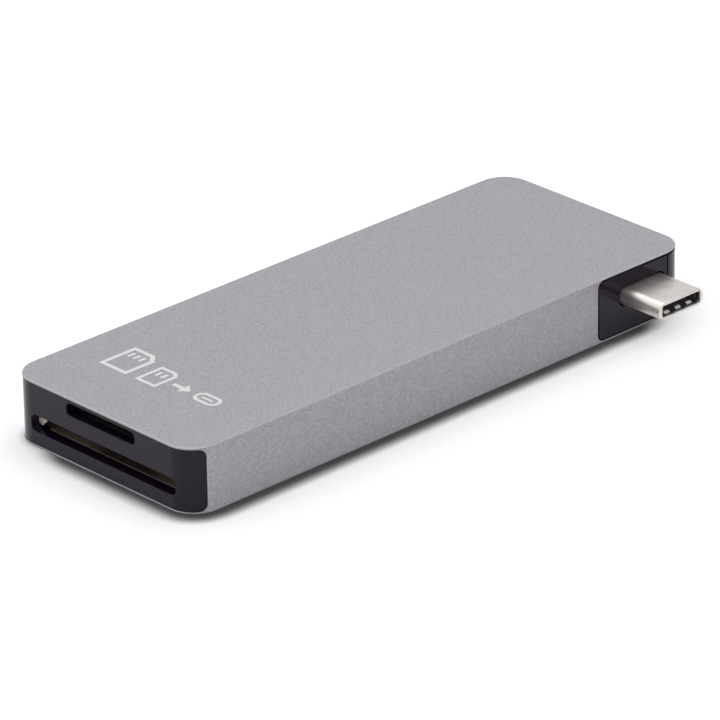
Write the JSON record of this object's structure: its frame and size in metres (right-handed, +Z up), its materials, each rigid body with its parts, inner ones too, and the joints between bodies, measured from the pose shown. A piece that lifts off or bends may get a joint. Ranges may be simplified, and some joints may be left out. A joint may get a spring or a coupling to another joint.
{
  "type": "usb hub",
  "caption": "Flat metal laptop hub: a plug on one long side, memory card slots in one end, and data and power ports on the hidden sides, with the board and sockets inside",
  "frame": {"origin": "centre of the housing's flat underside, halfway along the body and halfway across it, without the plug", "axes": "+X along the body from the card slots towards the plug's end, +Z up from the underside to the top face, the plug points along -Y"},
  "size_m": [0.0864, 0.0404, 0.0089],
  "materials": {
    "anodised": "space grey, bead-blasted and anodised",
    "black_gloss": "glossy black",
    "nickel": "satin nickel",
    "steel": "stamped stainless steel",
    "bronze": "plated spring bronze",
    "moulding": "black liquid-crystal polymer",
    "ivory": "natural polymer",
    "blue": "blue polymer",
    "board": "green solder mask on glass-epoxy",
    "chip": "moulded epoxy",
    "ceramic": "brown ceramic",
    "ferrite": "dark ferrite",
    "pad": "soft silicone"
  },
  "bodies": {
    "hub": {"housing": "anodised", "card_end_cap": "black_gloss", "port_end_cap": "black_gloss", "plug_bezel": "black_gloss", "plug_shell": "nickel", "plug_ground_spring_top": "nickel", "plug_ground_spring_bottom": "nickel", "plug_latch_1": "steel", "plug_latch_2": "steel", "sd_socket_shell": "steel", "microsd_shell": "steel", "microsd_spring": "steel", "usb_a_shell_1": "steel", "usb_a_shell_2": "steel", "usb_c_port_shell": "steel", "hub_crystal": "steel", "reader_crystal": "steel", "sd_contact_1": "bronze", "sd_contact_2": "bronze", "sd_contact_3": "bronze", "sd_contact_4": "bronze", "sd_contact_5": "bronze", "sd_contact_6": "bronze", "sd_contact_7": "bronze", "sd_contact_8": "bronze", "sd_contact_9": "bronze", "microsd_contact_1": "bronze", "microsd_contact_2": "bronze", "microsd_contact_3": "bronze", "microsd_contact_4": "bronze", "microsd_contact_5": "bronze", "microsd_contact_6": "bronze", "microsd_contact_7": "bronze", "microsd_contact_8": "bronze", "plug_insulator": "moulding", "sd_socket_base": "moulding", "microsd_base": "moulding", "usb_c_port_insulator": "moulding", "usb_a_insulator_1": "blue", "usb_a_insulator_2": "blue", "main_board": "board", "hub_controller": "chip", "card_reader_chip": "chip", "power_controller": "chip", "power_switch": "chip", "bulk_capacitor_1": "ceramic", "bulk_capacitor_2": "ceramic", "power_inductor": "ferrite", "thermal_pad": "pad"},
    "microsd_slider": {"microsd_slider": "ivory"},
    "microsd_latch_pin": {"microsd_latch_pin": "steel"},
    "sd_detect_lever": {"sd_detect_lever": "bronze"},
    "sd_write_protect_lever": {"sd_write_protect_lever": "bronze"}
  },
  "joints": [
    {"name": "microsd_push", "type": "slide", "parent": "hub", "child": "microsd_slider", "axis": [1, 0, 0], "range_m": [0, 0.0013], "deforming": ["microsd_spring"]},
    {"name": "microsd_pin_swing", "type": "hinge", "parent": "hub", "child": "microsd_latch_pin", "pos_m": [-0.0383, 0.0061, 0.0075], "axis": [0, 0, 1], "range_deg": [0, 2.83]},
    {"name": "sd_detect_swing", "type": "hinge", "parent": "hub", "child": "sd_detect_lever", "pos_m": [-0.0162, 0.01225, 0.00315], "axis": [0, 0, 1], "range_deg": [-9, 0]},
    {"name": "sd_write_protect_swing", "type": "hinge", "parent": "hub", "child": "sd_write_protect_lever", "pos_m": [-0.0322, 0.01225, 0.00315], "axis": [0, 0, 1], "range_deg": [-9, 0]}
  ],
  "couplings": [
    {"joint": "microsd_pin_swing", "follows": "microsd_push", "rad_per_m": 37.9}
  ]
}
